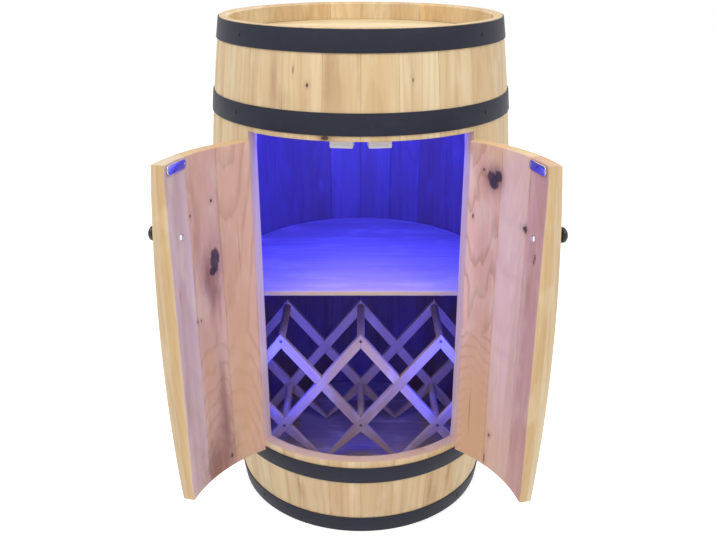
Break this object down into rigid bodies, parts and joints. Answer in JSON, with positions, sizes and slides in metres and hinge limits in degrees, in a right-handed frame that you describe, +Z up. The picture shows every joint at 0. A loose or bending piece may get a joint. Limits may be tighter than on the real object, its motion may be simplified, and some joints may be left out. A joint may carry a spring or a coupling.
{
  "type": "barrel bar cabinet",
  "caption": "Staved wooden barrel with steel hoops, made into a bar cabinet: curved doors, a shelf, a crossed-slat bottle rack and a strip of lights inside.",
  "frame": {"origin": "on the floor, in the middle of the whole footprint with the doors open as they stand in the picture; the barrel's own axis stands at x 4.5 mm, y 46.1 mm", "axes": "+Z up along the barrel's axis, -Y out through the doors, +X to the right seen from the front"},
  "size_m": [0.5474, 0.5762, 0.8],
  "materials": {
    "stave_wood": "pale straw-coloured planed wood with a thin satin varnish",
    "door_wood": "the same wood, pinker on the inner faces, with knots",
    "head_wood": "pale planed boards, satin",
    "board_wood": "plain sawn board, matt",
    "rack_wood": "planed slats, bare",
    "hoop_steel": "charcoal paint, satin",
    "black_steel": "black paint, satin",
    "bright_steel": "zinc-plated",
    "white_plastic": "satin",
    "knob_finish": "dark brown-black, half gloss",
    "light_strip": "clear coating over blue lights"
  },
  "bodies": {
    "barrel": {"stave_01": "stave_wood", "stave_02": "stave_wood", "stave_03": "stave_wood", "stave_04": "stave_wood", "stave_05": "stave_wood", "stave_06": "stave_wood", "stave_07": "stave_wood", "stave_08": "stave_wood", "stave_09": "stave_wood", "stave_10": "stave_wood", "stave_11": "stave_wood", "stave_12": "stave_wood", "stave_13": "stave_wood", "stave_14": "stave_wood", "stave_15": "stave_wood", "stave_16": "stave_wood", "stave_17": "stave_wood", "stave_18": "stave_wood", "front_upper_staves": "stave_wood", "front_lower_staves": "stave_wood", "lower_end_hoop": "hoop_steel", "lower_inner_hoop": "hoop_steel", "upper_inner_hoop": "hoop_steel", "upper_end_hoop": "hoop_steel", "bottom_head": "head_wood", "top_head": "head_wood", "shelf": "board_wood", "catch_block": "board_wood", "left_magnetic_catch": "white_plastic", "right_magnetic_catch": "white_plastic", "left_lower_hinge_frame_leaf": "black_steel", "left_lower_hinge_pin": "black_steel", "left_upper_hinge_frame_leaf": "black_steel", "left_upper_hinge_pin": "black_steel", "right_lower_hinge_frame_leaf": "black_steel", "right_lower_hinge_pin": "black_steel", "right_upper_hinge_frame_leaf": "black_steel", "right_upper_hinge_pin": "black_steel", "led_strip": "light_strip", "led_battery_box": "white_plastic", "rack_front_lattice": "rack_wood", "rack_rear_lattice": "rack_wood", "rack_rod_1": "rack_wood", "rack_rod_2": "rack_wood", "rack_rod_3": "rack_wood", "rack_rod_4": "rack_wood", "rack_rod_5": "rack_wood", "rack_rod_6": "rack_wood"},
    "left_door": {"left_door_panel": "door_wood", "left_knob": "knob_finish", "left_knob_screw": "bright_steel", "left_strike_plate": "bright_steel", "left_lower_hinge_door_leaf": "black_steel", "left_upper_hinge_door_leaf": "black_steel"},
    "right_door": {"right_door_panel": "door_wood", "right_knob": "knob_finish", "right_knob_screw": "bright_steel", "right_strike_plate": "bright_steel", "right_lower_hinge_door_leaf": "black_steel", "right_upper_hinge_door_leaf": "black_steel"}
  },
  "joints": [
    {"name": "left_door_hinge", "type": "hinge", "parent": "barrel", "child": "left_door", "pos_m": [-0.16135, -0.13146, 0.4], "axis": [0, 0, -1], "range_deg": [-104, 66]},
    {"name": "right_door_hinge", "type": "hinge", "parent": "barrel", "child": "right_door", "pos_m": [0.17028, -0.13146, 0.4], "axis": [0, 0, 1], "range_deg": [-99.5, 70.5]}
  ]
}
